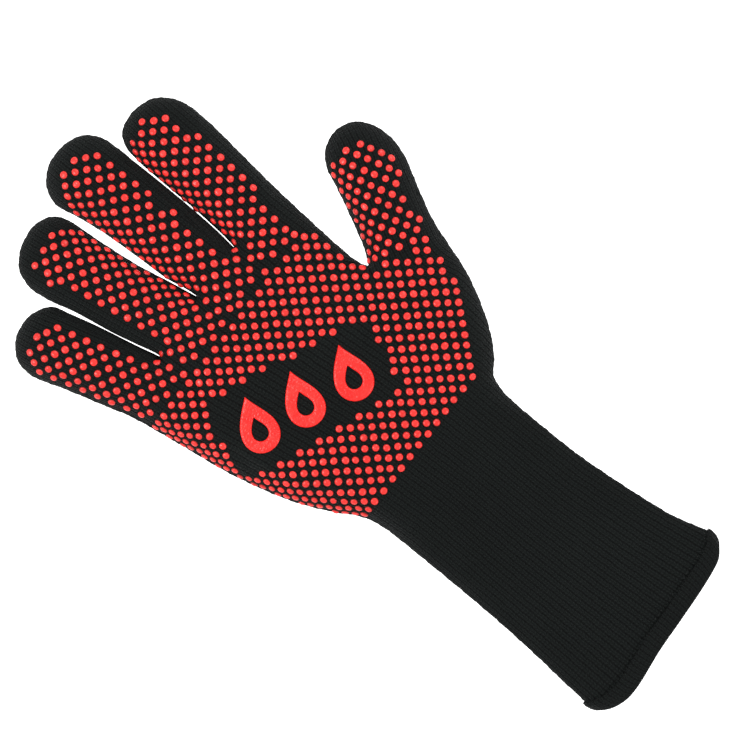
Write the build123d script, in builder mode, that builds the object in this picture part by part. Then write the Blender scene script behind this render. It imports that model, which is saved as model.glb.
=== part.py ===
from build123d import *

import math
import os

os.makedirs("parts", exist_ok=True)

# A knitted heat-resistant glove for the right hand, laid flat with its palm up.
# Millimetres. +Y runs to the fingertips, +X to the thumb, +Z up out of the palm.
# The origin is the centre of the glove's plan, on the surface it lies on.

# ---- Driving dimensions -------------------------------------------------------

THICKNESS = 15.0        # the glove as it lies, both faces and the air between them
EDGE_ROUND = 6.5        # rounding of the sides, seen in section
SHELL_WALL = 1.6        # outer aramid knit
LINING_GAP = 0.15       # between the knit and the lining
LINING_WALL = 1.0       # inner cotton glove

# Fingers: centre and radius of the round at the root and of the round at the tip.
FINGERS = {
    "little": ((-61.8, 66.0), 14.2, (-77.5, 128.0), 15.7),
    "ring": ((-32.1, 66.0), 15.0, (-44.5, 151.0), 17.2),
    "middle": ((-4.0, 66.0), 12.9, (-6.5, 162.0), 18.2),
    "index": ((24.5, 66.0), 15.3, (31.0, 147.0), 17.2),
    "thumb": ((47.5, 9.9), 17.8, (79.0, 70.5), 15.0),
}
KNUCKLE_Y = 85.8        # one bending line serves the four fingers
MIDDLE_JOINT = 0.45     # place of the middle joint, from knuckle line to fingertip
THUMB_KNUCKLE = 20.0    # from the thumb's root round to its knuckle line
THUMB_JOINT = 51.0      # and to its middle joint
THUMB_HALF = 17.5       # half the width that the thumb takes out of the palm
WRIST_Y = -45.0
BEND_HALF = THICKNESS / 2 + 1.3   # half the length of knit that bends at a joint

# Plan of the palm and cuff as corners with rounding radii: up the little-finger side,
# across past the knuckles, down the web of the thumb and down the thumb side.
HAND_CORNERS = [
    ((-56.0, -196.0), 0), ((-50.0, -105.0), 90), ((-48.5, -48.0), 25), ((-64.0, -6.0), 60),
    ((-74.5, 36.0), 90), ((-83.0, 92.0), 0), ((42.0, 92.0), 0), ((37.0, 20.0), 0),
    ((58.0, 20.0), 0), ((65.5, 7.0), 0), ((58.0, -19.0), 20), ((44.0, -36.5), 25),
    ((33.0, -52.0), 20), ((31.5, -86.0), 90), ((40.0, -160.0), 60), ((42.0, -196.0), 0),
]
WEB_CORNER, WEB_ROUND = (37.6, 28.4), 4.0       # where palm and thumb part
MOUND_CORNER, MOUND_ROUND = (64.1, 2.5), 20.0   # where the thumb's mound begins

HEM_CENTRE = (-7.5, -176.5)     # middle of the open end
HEM_TILT = 4.5                  # the open end slants, longer on the little-finger side
HEM_WIDTH = 8.0
HEM_WALL = 2.6
STITCH_COUNT = 25
STITCH_PITCH = 3.2
STITCH_SIZE = (0.9, 4.2, 0.5)

# Grip dots: a square lattice turned 45 degrees to each finger and to the palm.
DOT_RADIUS = 1.75
DOT_HEIGHT = 0.8
DOT_SINK = 0.3                  # how far a dot beds into the rounded sides
DOT_SPACE = 4.0                 # no two dot centres come nearer than this
LEVEL = 0.999                   # upward part of the normal where the knit is flat
# Pitch within a row and from row to row; alternate rows are half a pitch over.
FINGER_PITCH = (7.8, 3.6)
PALM_PITCH = (6.7, 3.75)
# A dot from which each lattice is laid out.
FIRST_DOTS = {
    "palm": (-6.2, -22.2), "little": (-72.8, 113.5), "ring": (-40.1, 121.9),
    "middle": (-7.1, 130.8), "index": (26.1, 123.3), "thumb": (70.2, 56.9),
}
DOT_EDGE = 2.0                  # nearest that a dot's centre comes to the outline
BARE_TIP = 9.5                  # bare knit at a fingertip
# Bare knit on the little-finger side and on the thumb side of each finger.
BARE_SIDES = {
    "little": (4.0, 6.0), "ring": (7.0, DOT_EDGE), "middle": (DOT_EDGE, 8.0),
    "index": (DOT_EDGE, 9.0), "thumb": (DOT_EDGE, 8.0),
}
BARE_MOUND = 10.0               # bare knit along the thumb's mound
BARE_INDEX = 4.0                # and above the web, on the palm's index-finger side
PALM_DOTS_LOW_Y = -34.3         # the straight lower limit of the dots

# Emblem: three flame drops side by side on a slanted line, on a plain panel.
EMBLEM_CENTRE = (-25.5, 21.5)
EMBLEM_TILT = -22.0
EMBLEM_PITCH = 24.5
EMBLEM_HEIGHT = 1.0
FLAME_COUNT = 3
FLAME_RADIUS = 9.0
FLAME_TALL = 27.4
FLAME_LEAN = 2.0
FLAME_HOLE = 0.42               # the open middle, as a share of the drop
PEAK_RISE = (-0.2, 1)           # the way its right side comes up to the peak
PEAK_FALL = (-1, -1)            # and its left side leaves it
PANEL_SIZE = (84.0, 38.0)

# ---- Places worked out from the driving dimensions ----------------------------

TOP = THICKNESS
PALM_END_Y = KNUCKLE_Y - BEND_HALF
WRIST_LOW_Y = WRIST_Y - BEND_HALF
WRIST_HIGH_Y = WRIST_Y + BEND_HALF
LINING_INSET = SHELL_WALL + LINING_GAP
HOLLOW_INSET = LINING_INSET + LINING_WALL
REACH = 400.0           # larger than the glove, for cutting


class Finger:
    """One finger's axis, its joint lines and the planes that part its pieces."""

    def __init__(self, name, root, root_radius, tip, tip_radius):
        self.name = name
        self.root, self.root_radius = Vector(*root), root_radius
        self.tip, self.tip_radius = Vector(*tip), tip_radius
        self.along = (self.tip - self.root).normalized()
        if name == "thumb":
            # The thumb bends square to its own length.
            self.normal = self.along
            self.knuckle = self.root + self.along * THUMB_KNUCKLE
            self.joint = self.root + self.along * THUMB_JOINT
        else:
            # The four fingers bend about lines parallel to X.
            self.normal = Vector(0, 1, 0)
            self.knuckle = self.at_y(KNUCKLE_Y)
            length = self.tip.Y + tip_radius - KNUCKLE_Y
            self.joint = self.at_y(KNUCKLE_Y + MIDDLE_JOINT * length)
        self.across = Vector(self.normal.Y, -self.normal.X, 0)

    def at_y(self, y):
        return self.root + self.along * ((y - self.root.Y) / self.along.Y)

    def cut(self, centre, side):
        """The plane at one end of the bending knit round a joint centre."""
        return Plane(
            origin=centre + self.normal * (side * BEND_HALF),
            x_dir=self.across,
            z_dir=self.normal,
        )


fingers = [Finger(name, *sizes) for name, sizes in FINGERS.items()]
thumb = fingers[-1]


# ---- Rounded flat forms, from which the layers are cut -------------------------

def capsule(finger, inset):
    """The plan of a finger: two rounds and the lines that touch both."""
    root_radius, tip_radius = finger.root_radius - inset, finger.tip_radius - inset
    lean = math.degrees(math.acos((root_radius - tip_radius) / (finger.tip - finger.root).length))
    left, right = (finger.along.rotate(Axis.Z, turn) for turn in (lean, -lean))
    with BuildSketch(Plane.XY.offset(inset)) as plan:
        with BuildLine():
            up = Line(finger.root + left * root_radius, finger.tip + left * tip_radius)
            down = Line(finger.tip + right * tip_radius, finger.root + right * root_radius)
            ThreePointArc(up @ 1, finger.tip + finger.along * tip_radius, down @ 0)
            ThreePointArc(down @ 1, finger.root - finger.along * root_radius, up @ 0)
        make_face()
    return plan


def hand_plan(inset):
    """The plan of cuff, wrist, palm and thumb root."""
    with BuildSketch(Plane.XY.offset(inset)) as plan:
        with BuildLine():
            corners = [corner for corner, _ in HAND_CORNERS]
            FilletPolyline(*corners, radius=[r for _, r in HAND_CORNERS], close=True)
        make_face()
        add(capsule(thumb, 0).sketch)
        fillet(plan.vertices().sort_by_distance(WEB_CORNER)[0], WEB_ROUND)
        fillet(plan.vertices().sort_by_distance(MOUND_CORNER)[0], MOUND_ROUND)
        if inset:
            offset(amount=-inset, mode=Mode.REPLACE)
    return plan


def pillow(plan, inset):
    """A flat form with rounded sides, inset by the same amount all round."""
    with BuildPart() as form:
        add(plan.sketch)
        extrude(amount=THICKNESS - 2 * inset)
        rims = form.faces().sort_by(Axis.Z)
        fillet(rims[0].edges() + rims[-1].edges(), EDGE_ROUND - inset)
    return form.part


def layer(plan_of, outer_inset, inner_inset):
    """One closed layer of fabric between two insets."""
    with BuildPart() as skin:
        add(pillow(plan_of(outer_inset), outer_inset))
        add(pillow(plan_of(inner_inset), inner_inset), mode=Mode.SUBTRACT)
    return skin.part


def between(whole, *cuts):
    """The stretch of a layer on the wanted side of every cut."""
    with BuildPart() as piece:
        add(whole)
        for plane, keep in cuts:
            split(bisect_by=plane, keep=keep)
    return piece.part


def across_at(y):
    """The plane square to the glove's length at y; TOP is the fingertip side."""
    return Plane(origin=(0, y, 0), x_dir=(1, 0, 0), z_dir=(0, 1, 0))


def write(part, name):
    part.label = name
    export_step(part, f"parts/{name}.step")


hem_normal = Vector(0, 1, 0).rotate(Axis.Z, HEM_TILT)
hem_end = Plane(origin=HEM_CENTRE, x_dir=hem_normal.rotate(Axis.Z, -90), z_dir=hem_normal)
hem_start = hem_end.offset(HEM_WIDTH)
thumb_start = Plane(
    origin=thumb.knuckle - thumb.along * BEND_HALF, x_dir=thumb.across, z_dir=(0, 0, 1)
)

# ---- Cuff, wrist and palm ------------------------------------------------------

hand_knit = layer(hand_plan, 0, SHELL_WALL)
hand_lining = layer(hand_plan, LINING_INSET, HOLLOW_INSET)


def cuff_of(whole):
    return between(whole, (hem_start, Keep.TOP), (across_at(WRIST_LOW_Y), Keep.BOTTOM))


def wrist_of(whole):
    return between(
        whole, (across_at(WRIST_LOW_Y), Keep.TOP), (across_at(WRIST_HIGH_Y), Keep.BOTTOM)
    )


def palm_of(whole):
    """The palm stops at the knuckle line and at the thumb's own line."""
    with BuildPart() as piece:
        add(whole)
        split(bisect_by=across_at(WRIST_HIGH_Y), keep=Keep.TOP)
        split(bisect_by=across_at(PALM_END_Y), keep=Keep.BOTTOM)
        with BuildSketch(thumb_start):
            with Locations((-THUMB_HALF, 0)):
                Rectangle(REACH, REACH, align=(Align.MIN, Align.MIN))
        extrude(amount=REACH, both=True, mode=Mode.SUBTRACT)
    return piece.part


with BuildPart() as cuff_shell:
    add(cuff_of(hand_knit))
write(cuff_shell.part, "cuff_shell")

with BuildPart() as cuff_lining:
    add(cuff_of(hand_lining))
write(cuff_lining.part, "cuff_lining")

with BuildPart() as wrist_shell:
    add(wrist_of(hand_knit))
write(wrist_shell.part, "wrist_shell")

with BuildPart() as wrist_lining:
    add(wrist_of(hand_lining))
write(wrist_lining.part, "wrist_lining")

with BuildPart() as palm_shell:
    add(palm_of(hand_knit))
write(palm_shell.part, "palm_shell")

with BuildPart() as palm_lining:
    add(palm_of(hand_lining))
write(palm_lining.part, "palm_lining")

# The hem is the knit turned in and stitched down, so its wall is thicker.
with BuildPart() as cuff_hem:
    add(layer(hand_plan, 0, HEM_WALL))
    split(bisect_by=hem_end, keep=Keep.TOP)
    split(bisect_by=hem_start, keep=Keep.BOTTOM)
write(cuff_hem.part, "cuff_hem")

# ---- Fingers -------------------------------------------------------------------

for finger in fingers:
    knit = layer(lambda inset: capsule(finger, inset), 0, SHELL_WALL)
    lining = layer(lambda inset: capsule(finger, inset), LINING_INSET, HOLLOW_INSET)
    knuckle_low, knuckle_high = finger.cut(finger.knuckle, -1), finger.cut(finger.knuckle, 1)
    joint_low, joint_high = finger.cut(finger.joint, -1), finger.cut(finger.joint, 1)
    # The knuckle and joint stretches are the knit that bends.
    stretches = {
        "knuckle_shell": (knit, (knuckle_low, Keep.TOP), (knuckle_high, Keep.BOTTOM)),
        "base_shell": (knit, (knuckle_high, Keep.TOP), (joint_low, Keep.BOTTOM)),
        "joint_shell": (knit, (joint_low, Keep.TOP), (joint_high, Keep.BOTTOM)),
        "tip_shell": (knit, (joint_high, Keep.TOP)),
        "base_lining": (lining, (knuckle_low, Keep.TOP), (joint_low, Keep.BOTTOM)),
        "tip_lining": (lining, (joint_low, Keep.TOP)),
    }
    for stretch, (whole, *cuts) in stretches.items():
        with BuildPart() as piece:
            add(between(whole, *cuts))
        write(piece.part, f"{finger.name}_{stretch}")

# ---- Hem stitching -------------------------------------------------------------

# Short bars of thread cross the line where the turned-in hem meets the cuff.
seam_top = Plane(
    origin=hem_start.origin + Vector(0, 0, TOP), x_dir=hem_start.x_dir, z_dir=(0, 0, 1)
)
with BuildPart(seam_top) as hem_stitching:
    with GridLocations(STITCH_PITCH, 0, STITCH_COUNT, 1):
        Box(*STITCH_SIZE, align=(Align.CENTER, Align.CENTER, Align.MIN))
write(hem_stitching.part, "hem_stitching")

# ---- Emblem --------------------------------------------------------------------

with BuildSketch() as flame:
    low = FLAME_RADIUS - FLAME_TALL / 2
    peak = (FLAME_LEAN, FLAME_TALL / 2)
    with BuildLine():
        ThreePointArc((-FLAME_RADIUS, low), (0, low - FLAME_RADIUS), (FLAME_RADIUS, low))
        Spline((FLAME_RADIUS, low), peak, tangents=((0, 1), PEAK_RISE))
        Spline(peak, (-FLAME_RADIUS, low), tangents=(PEAK_FALL, (0, -1)))
    make_face()
    add(scale(flame.sketch, by=FLAME_HOLE, mode=Mode.PRIVATE).moved(Pos(0, low / 2)),
        mode=Mode.SUBTRACT)

emblem_plane = Plane(origin=(*EMBLEM_CENTRE, TOP)).rotated((0, 0, EMBLEM_TILT))
with BuildPart() as palm_emblem:
    with BuildSketch(emblem_plane):
        with GridLocations(EMBLEM_PITCH, 0, FLAME_COUNT, 1):
            add(flame.sketch)
    extrude(amount=EMBLEM_HEIGHT)
write(palm_emblem.part, "palm_emblem")

# ---- Grip dots -----------------------------------------------------------------

ball = (DOT_RADIUS**2 + DOT_HEIGHT**2) / (2 * DOT_HEIGHT)
with BuildPart() as dot:
    with Locations((0, 0, DOT_HEIGHT - ball)):
        Sphere(ball)
    split(bisect_by=Plane.XY, keep=Keep.TOP)


def lattice(start, along, pitch):
    """Points of the dot pattern round a start point, squared up to a direction."""
    across = along.rotate(Axis.Z, -90)
    step_across, step_along = pitch
    steps = int(REACH / step_across / 2)
    for row in range(-2 * steps, 2 * steps):
        for column in range(-steps, steps):
            shift = (column + (row % 2) / 2) * step_across
            yield start + along * (row * step_along) + across * shift


def seats(form, plan, start, along, pitch, bare, wanted):
    """Planes for the dots of one piece, round the sides of a form where they reach them.

    bare gives the bare knit to the left of a point, to its right and beyond it, and
    no dot crowds one placed before.
    """
    across = along.rotate(Axis.Z, -90)
    outline = plan.face()
    found = []
    for point in lattice(start, along, pitch):
        if not wanted(point, 0):
            continue
        left, right, beyond = bare(point)
        margins = (across * -left, across * right, along * beyond)
        if not all(outline.is_inside(point + margin) for margin in margins):
            continue
        if any((point - other).length < DOT_SPACE for other in placed):
            continue
        placed.append(point)
        down = Axis((point.X, point.Y, 2 * TOP), (0, 0, -1))
        place, normal = form.shell().find_intersection_points(down)[0]
        if normal.Z > LEVEL:
            found.append(Plane(origin=place, z_dir=normal))
        elif wanted(point, DOT_RADIUS):
            found.append(Plane(origin=place - normal * DOT_SINK, z_dir=normal))
    return found


def palm_bare(point):
    right = BARE_INDEX if point.Y > WEB_CORNER[1] else BARE_MOUND
    return DOT_EDGE, right, 0


def in_palm(point, margin):
    """On the palm, off the thumb and off the plain panel round the emblem."""
    from_thumb = point - thumb.knuckle
    on_thumb = (
        from_thumb.dot(thumb.along) > -BEND_HALF - margin
        and from_thumb.dot(thumb.across) > -THUMB_HALF - margin
    )
    from_emblem = (point - Vector(*EMBLEM_CENTRE)).rotate(Axis.Z, -EMBLEM_TILT)
    on_panel = abs(from_emblem.X) < PANEL_SIZE[0] / 2 and abs(from_emblem.Y) < PANEL_SIZE[1] / 2
    in_length = PALM_DOTS_LOW_Y <= point.Y and point.Y + margin <= PALM_END_Y
    return in_length and not on_thumb and not on_panel


def in_stretch(finger, first, last):
    """A test for the stretch of a finger between two lengths from its knuckle."""

    def test(point, margin):
        length = (point - finger.knuckle).dot(finger.normal)
        return first + margin <= length < last - margin

    return test


placed = []
palm_plan = hand_plan(0)
palm_seats = seats(
    pillow(palm_plan, 0), palm_plan, Vector(*FIRST_DOTS["palm"]), Vector(0, 1),
    PALM_PITCH, palm_bare, in_palm,
)
with BuildPart() as palm_dots:
    with Locations(*palm_seats):
        add(dot.part)
write(palm_dots.part, "palm_dots")

for finger in fingers:
    plan = capsule(finger, 0)
    form = pillow(plan, 0)
    first_dot = Vector(*FIRST_DOTS[finger.name])
    sides = (*BARE_SIDES[finger.name], BARE_TIP)
    joint_start = (finger.joint - finger.knuckle).dot(finger.normal) - BEND_HALF
    for stretch, first, last in (
        ("base_dots", -BEND_HALF, joint_start),
        ("tip_dots", joint_start, REACH),
    ):
        finger_seats = seats(
            form, plan, first_dot, finger.along, FINGER_PITCH, lambda point: sides,
            in_stretch(finger, first, last),
        )
        with BuildPart() as dots:
            with Locations(*finger_seats):
                add(dot.part)
        write(dots.part, f"{finger.name}_{stretch}")
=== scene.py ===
import math

import bpy
import numpy as np
from mathutils import Matrix, Vector
from mathutils.bvhtree import BVHTree
from mathutils.geometry import delaunay_2d_cdt
from mathutils.kdtree import KDTree


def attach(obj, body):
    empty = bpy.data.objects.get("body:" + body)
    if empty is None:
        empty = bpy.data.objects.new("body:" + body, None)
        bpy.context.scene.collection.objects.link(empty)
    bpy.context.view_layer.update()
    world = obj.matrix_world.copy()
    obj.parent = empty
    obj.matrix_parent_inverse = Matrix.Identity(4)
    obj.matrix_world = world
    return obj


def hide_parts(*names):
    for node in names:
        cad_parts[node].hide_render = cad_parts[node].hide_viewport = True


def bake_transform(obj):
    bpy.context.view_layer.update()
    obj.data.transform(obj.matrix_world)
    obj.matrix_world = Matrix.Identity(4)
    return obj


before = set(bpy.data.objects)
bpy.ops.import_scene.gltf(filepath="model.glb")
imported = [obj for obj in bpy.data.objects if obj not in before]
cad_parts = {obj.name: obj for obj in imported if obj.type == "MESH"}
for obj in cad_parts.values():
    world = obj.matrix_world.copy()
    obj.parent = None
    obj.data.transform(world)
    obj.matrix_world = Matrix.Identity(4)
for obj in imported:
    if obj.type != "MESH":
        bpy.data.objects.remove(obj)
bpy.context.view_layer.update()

# A knitted heat-resistant glove lying flat, palm up, in the CAD model's frame: +Y to the
# fingertips, +X to the thumb, +Z up. Lengths here are in mm until a mesh is made.

MM = 0.001
rng = np.random.default_rng(7)
CURVE_PARTS = 16        # stretches of a smooth curve from one given point to the next

# ---- Outline ---------------------------------------------------------------------
# The plan's outline is measured from the middle of the wrist, going clockwise.

WRIST = np.array((-7.0, -39.0))
CUFF_LEFT = [
    (-48.4, -130.8), (-48.2, -124), (-47.3, -115), (-45.7, -100), (-44.1, -80), (-43.1, -60),
    (-42.3, -30), (-42.1, -8), (-42.9, 0), (-45.5, 8), (-50.1, 16), (-58.8, 36), (-66.1, 65),
    (-69.8, 92), (-73.7, 118),
]
LITTLE = [
    (-77, 130), (-80.2, 142), (-83.4, 153), (-86.3, 162), (-86.9, 167), (-86, 173),
    (-82, 178.5), (-76, 182), (-68, 182.9), (-61, 180.8), (-56, 176.3), (-53.9, 169),
    (-50.6, 156), (-46.3, 135), (-44.4, 127), (-43.8, 124),
]
RING = [
    (-43.7, 126), (-46.2, 137), (-48.6, 148), (-51.5, 166), (-53.7, 176), (-55.5, 187),
    (-55, 193), (-52, 199.5), (-46, 204), (-39, 206.3), (-32, 206.6), (-26, 204.4),
    (-22, 200), (-20.3, 194), (-19.4, 180), (-17.2, 158), (-14.5, 144), (-12.4, 132),
    (-11.6, 127.5),
]
MIDDLE = [
    (-11.9, 133), (-13.7, 144), (-14.1, 160), (-14.9, 180), (-16.6, 194), (-18.1, 203.5),
    (-17, 209), (-13.5, 214), (-8, 217.6), (-1.5, 219.1), (5, 218.6), (11.5, 216.4),
    (16.3, 212), (18.8, 206), (19.4, 192), (19.15, 165), (17.9, 140), (17, 132), (16.5, 127.5),
]
INDEX = [
    (17.6, 133), (19.15, 150), (19.95, 172), (20.8, 188), (22.2, 194.5), (24.9, 199.6),
    (29, 202.2), (35, 203.2), (41, 202.4), (46.5, 200.2), (50.5, 196.5), (53, 192),
    (54.7, 186.5), (54.7, 174), (52.2, 152), (49.7, 131), (47.8, 110), (46.3, 90),
    (46.1, 81), (46.6, 77), (48.1, 74.3),
]
THUMB = [
    (50.2, 76.5), (54, 82), (58.2, 89.6), (66.3, 105.4), (69.5, 112.4), (71.6, 116.8),
    (74.8, 120.5), (79, 123.2), (84, 124.5), (89.5, 124), (94.5, 121.5), (98.3, 117), (100.3, 111),
    (100.8, 105), (99.8, 98.5), (97.3, 91.5), (90, 78.5), (82.5, 64), (78, 51), (73.5, 38),
    (67, 25), (58.5, 12), (50, 3), (45.5, 0), (42.7, -3), (41, -7.5), (39.9, -13),
]
CUFF_RIGHT = [
    (38.9, -35), (38.8, -55), (39.8, -72), (41.5, -91), (43.6, -107), (46.5, -117.5), (48, -122.5),
    (48.1, -127),
]
MOUTH = [
    (40, -130.6), (10, -133.8), (-8, -134.8), (-28, -137.1), (-42, -134.2),
]
# The hem's own rim, from the left side fold to the right.
RIM = [
    (-45.9, -135), (-42.5, -138), (-36, -140.6), (-28, -141.1), (-8, -138.8), (10, -137.8),
    (36, -135.6), (41.5, -134.3), (46.2, -131),
]
MOUTH_LEFT, MOUTH_RIGHT = np.array(CUFF_LEFT[0]) + WRIST, np.array(CUFF_RIGHT[-1]) + WRIST
# Where the slits between the fingers end.
CROTCHES = [np.array(side[-1]) + WRIST for side in (LITTLE, RING, MIDDLE, INDEX)]
# The line through the four fingers' roots: its height on the left, its end on the right.
ROOTS_LEFT, ROOTS_RIGHT = 85.6, (42.4, 88.5)

# The fingers' axes: centre and radius of the round at the root and at the tip, with the
# ends of the two stretches where the knit bends and the cut between the two pieces, as
# lengths along Y (along its own axis from the knuckle for the thumb).
FINGERS = {
    "little": dict(root=(-61.8, 66.0), tip=(-77.5, 128.0), radius=15.7,
                   knuckle=(86.0, 100.0), cut=101.0, joint=(102.0, 120.0)),
    "ring": dict(root=(-32.1, 66.0), tip=(-44.5, 151.0), radius=17.2,
                 knuckle=(89.5, 105.0), cut=109.0, joint=(114.0, 131.6)),
    "middle": dict(root=(-4.0, 66.0), tip=(-6.5, 162.0), radius=18.2,
                   knuckle=(89.5, 105.0), cut=112.0, joint=(119.5, 137.0)),
    "index": dict(root=(24.5, 66.0), tip=(31.0, 147.0), radius=17.2,
                  knuckle=(89.5, 105.0), cut=108.5, joint=(112.0, 130.0)),
    "thumb": dict(root=(56.7, 27.6), tip=(79.0, 70.5), radius=15.0,
                  knuckle=(0.0, 17.0), cut=20.0, joint=(22.2, 39.8)),
}
for finger in FINGERS.values():
    finger["root"], finger["tip"] = np.array(finger["root"]), np.array(finger["tip"])
    way = finger["tip"] - finger["root"]
    finger["along"] = way / np.linalg.norm(way)
    finger["across"] = np.array((finger["along"][1], -finger["along"][0]))
THUMB_AXES = FINGERS["thumb"]


def smoothstep(t):
    t = np.clip(t, 0.0, 1.0)
    return t * t * (3 - 2 * t)


def smooth_curve(points, closed=False):
    """A centripetal Catmull-Rom curve through points."""
    p = np.asarray(points, float)
    if closed:
        ring = np.vstack((p[-1], p, p[0], p[1]))
    else:
        ring = np.vstack((2 * p[0] - p[1], p, 2 * p[-1] - p[-2]))
    knots = np.cumsum(np.r_[0, np.sqrt(np.linalg.norm(np.diff(ring, axis=0), axis=1))])
    runs = []
    for i in range(1, len(ring) - 2):
        p0, p1, p2, p3 = ring[i - 1:i + 3]
        t0, t1, t2, t3 = knots[i - 1:i + 3]
        t = np.linspace(t1, t2, CURVE_PARTS, endpoint=False)[:, None]
        a1 = ((t1 - t) * p0 + (t - t0) * p1) / (t1 - t0)
        a2 = ((t2 - t) * p1 + (t - t1) * p2) / (t2 - t1)
        a3 = ((t3 - t) * p2 + (t - t2) * p3) / (t3 - t2)
        b1 = ((t2 - t) * a1 + (t - t0) * a2) / (t2 - t0)
        b2 = ((t3 - t) * a2 + (t - t1) * a3) / (t3 - t1)
        runs.append(((t2 - t) * b1 + (t - t1) * b2) / (t2 - t1))
    runs.append(p[:1] if closed else p[-1:])
    return np.vstack(runs)


def resample(line, step):
    """Points every step along a polyline, ends kept."""
    at = np.r_[0, np.cumsum(np.linalg.norm(np.diff(line[:, :2], axis=0), axis=1))]
    wanted = np.linspace(0, at[-1], max(2, round(at[-1] / step)) + 1)
    return np.column_stack([np.interp(wanted, at, line[:, k]) for k in range(line.shape[1])])


def close_loop(loop):
    """A loop's points with the first again at the end."""
    return np.vstack((loop, loop[:1]))


def ring_ways(ring, reach=1):
    """The way along a closed ring at each point, between its neighbours on both sides."""
    return np.roll(ring, -reach, axis=0) - np.roll(ring, reach, axis=0)


def unit_rows(rows):
    """Rows scaled to length 1."""
    return rows / np.linalg.norm(rows, axis=1)[:, None]


def inward(ring):
    """Unit normals of a clockwise closed curve, to its inside."""
    way = unit_rows(ring_ways(ring))
    return np.column_stack((way[:, 1], -way[:, 0]))


def in_mouth(points):
    """True on the part of the outline where the cuff is open."""
    a, b = MOUTH_LEFT, MOUTH_RIGHT
    return (b[0] - a[0]) * (points[:, 1] - a[1]) - (b[1] - a[1]) * (points[:, 0] - a[0]) < -0.5


# How far the palm-side knit slopes down at its side fold, in mm, along each stretch: on the
# left of a finger's tip and on its right.
SLOPES = [
    (CUFF_LEFT, 0.0, 4.6), (LITTLE, 2.4, 1.2), (RING, 0.8, 3.0), (MIDDLE, 3.2, 0.8),
    (INDEX, 3.4, 0.8), (THUMB, 3.2, 1.6), (CUFF_RIGHT, 0.0, 0.0), (MOUTH, 0.0, 0.0),
]


def outline_slopes():
    """The slope at every point of the outline's curve."""
    found = []
    for points, first, last in SLOPES:
        share = np.linspace(0, 1, len(points))
        found.append(first + (last - first) * smoothstep((share - 0.35) / 0.3))
    found = np.concatenate(found)
    at = np.arange(len(found) * CURVE_PARTS + 1) / CURVE_PARTS
    return np.interp(at, np.arange(len(found) + 1), np.r_[found, found[0]])


OUTLINE = smooth_curve([p for points, _, _ in SLOPES for p in points], closed=True) + WRIST
OUTLINE = np.column_stack((OUTLINE, outline_slopes()))

# ---- Shape of the glove as it lies -------------------------------------------------

SPREAD = 9.5            # how quickly the knit rises from its side folds, mm
HAND_RISE, CUFF_RISE = 0.82, 0.38
HAND_SIDE, CUFF_SIDE = 5.5, 4.6     # height of the side folds
LOWEST = 0.12           # height of the lower face where it lies flat
WALE = 2.5              # width of a column of stitches at the wrist
COURSE = 1.8            # height of a row of stitches

# The knit's columns fan out from the wrist: height, middle and widening.
FAN = np.array([
    (-142, 0.0, 1.20), (-100, -1.5, 1.09), (-60, -2.2, 1.02), (-20, -1.4, 1.0), (10, -2.0, 1.03),
    (50, -6.0, 1.12), (90, -10.0, 1.18), (130, -12.0, 1.20), (230, -12.0, 1.20),
])

# Folds in the knit: points, depth and half width.
FOLDS = [
    ([(-40, 114), (-44, 103), (-53, 88)], 2.3, 4.0),
    ([(-57, 80), (-58, 55), (-54, 36), (-45, 20), (-41, 8)], 1.1, 3.0),
    ([(-13, 40), (-17, 30), (-18, 20)], 0.7, 3.0),
    ([(62, 36), (49, 26), (43, 12)], 0.9, 4.0),
    ([(48, 70), (38, 62), (28, 58)], 0.9, 5.0),
    ([(-11, 126), (-13, 112), (-18, 102)], 1.0, 4.0),
    ([(17, 126), (15, 114)], 1.0, 4.0),
]


def fan_at(y):
    """Middle and widening of the knit's columns at heights y."""
    y = y - WRIST[1]
    return np.interp(y, FAN[:, 0], FAN[:, 1]) + WRIST[0], np.interp(y, FAN[:, 0], FAN[:, 2])


def finger_weight(name, p):
    """How far a point's columns of stitches follow a finger, from 0 to 1."""
    f = FINGERS[name]
    q = p - f["root"]
    s, t = q @ f["along"], q @ f["across"]
    if name == "thumb":
        return smoothstep((s + 24) / 26) * smoothstep((t + 26) / 9)
    start = f["knuckle"][0] - f["root"][1]
    return smoothstep((s - start + 9) / 20) * (np.abs(t) < f["radius"] + 4)


def knit_of(p):
    """Column and row of the stitches at plan points."""
    middle, wide = fan_at(p[:, 1])
    u, v = (p[:, 0] - middle) / wide, p[:, 1].copy()
    for name, f in FINGERS.items():
        q = p - f["root"]
        middle, wide = fan_at(f["root"][1:])
        own_u = q @ f["across"] + (f["root"][0] - middle[0]) / wide[0]
        own_v = q @ f["along"] + f["root"][1]
        w = finger_weight(name, p)
        u, v = u + w * (own_u - u), v + w * (own_v - v)
    return u / WALE, v / COURSE


def distance_to(line, p):
    """Distance from points to a polyline, and how far along it the nearest place is."""
    best, along = np.full(len(p), 1e9), np.zeros(len(p))
    for i in range(len(line) - 1):
        a, way = line[i], line[i + 1] - line[i]
        t = np.clip((p - a) @ way / (way @ way), 0, 1)
        d = np.linalg.norm(p - a - t[:, None] * way, axis=1)
        nearer = d < best
        best[nearer], along[nearer] = d[nearer], (i + t[nearer]) / (len(line) - 1)
    return best, along


def unevenness(p):
    """Slow rises and dips of knit that lies loose, in mm."""
    x, y = p[:, 0], p[:, 1]
    rise = 0.30 * np.sin(0.071 * x + 0.043 * y + 1.3) + 0.22 * np.sin(-0.052 * x + 0.083 * y)
    rise += 0.16 * np.sin(0.161 * x + 0.118 * y + 0.6) + 0.12 * np.sin(0.21 * x - 0.16 * y + 2.1)
    for points, depth, width in FOLDS:
        d, along = distance_to(smooth_curve(np.array(points) + WRIST), p)
        ends = smoothstep(np.minimum(along, 1 - along) * 4 + 0.25)
        rise -= depth * ends * (np.exp(-(d / width) ** 2) - 0.35 * np.exp(-(d / width / 2) ** 2))
    return rise


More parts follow.
